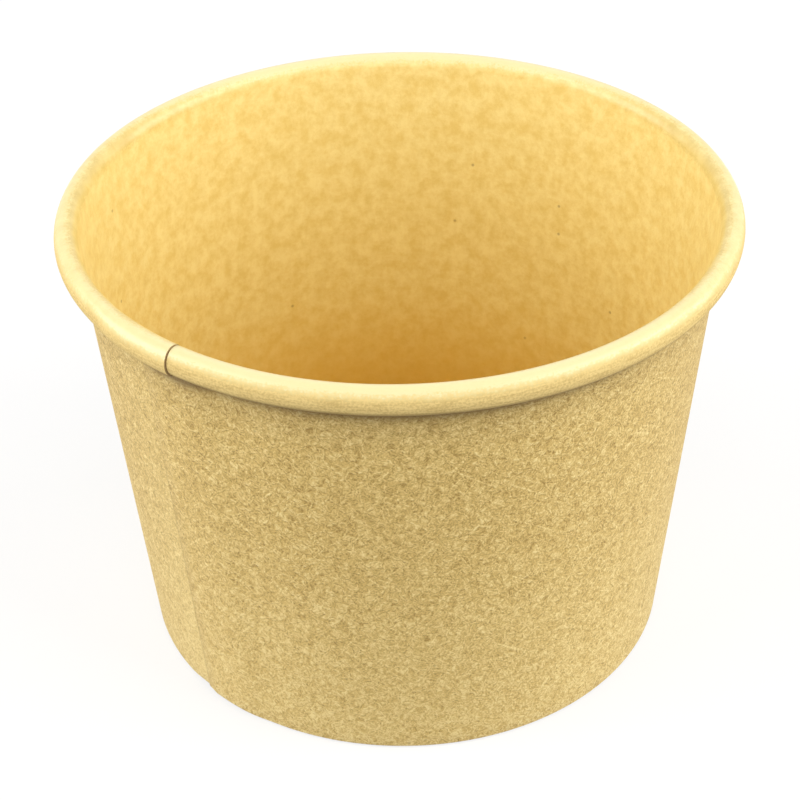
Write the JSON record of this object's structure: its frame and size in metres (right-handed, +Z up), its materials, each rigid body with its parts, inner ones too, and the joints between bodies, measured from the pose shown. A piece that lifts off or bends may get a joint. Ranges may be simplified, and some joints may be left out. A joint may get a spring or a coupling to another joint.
{
  "type": "disposable soup cup",
  "caption": "Short tapered paper board soup cup with a rolled rim, a lapped side seam, a folded hem and a raised flat base, for hot food with or without a lid.",
  "frame": {"origin": "centre of the cup on the plane it stands on", "axes": "+Z up along the cup's axis, out of its mouth; +X to the right and -Y towards a viewer who sees the side seam on the left"},
  "size_m": [0.09, 0.09, 0.0635],
  "materials": {
    "wall_board": "matte uncoated kraft outside, satin coated inside and over the rim",
    "base_board": "satin coated kraft above, matte below"
  },
  "bodies": {
    "root": {"side_wall": "wall_board", "base": "base_board"}
  },
  "joints": []
}
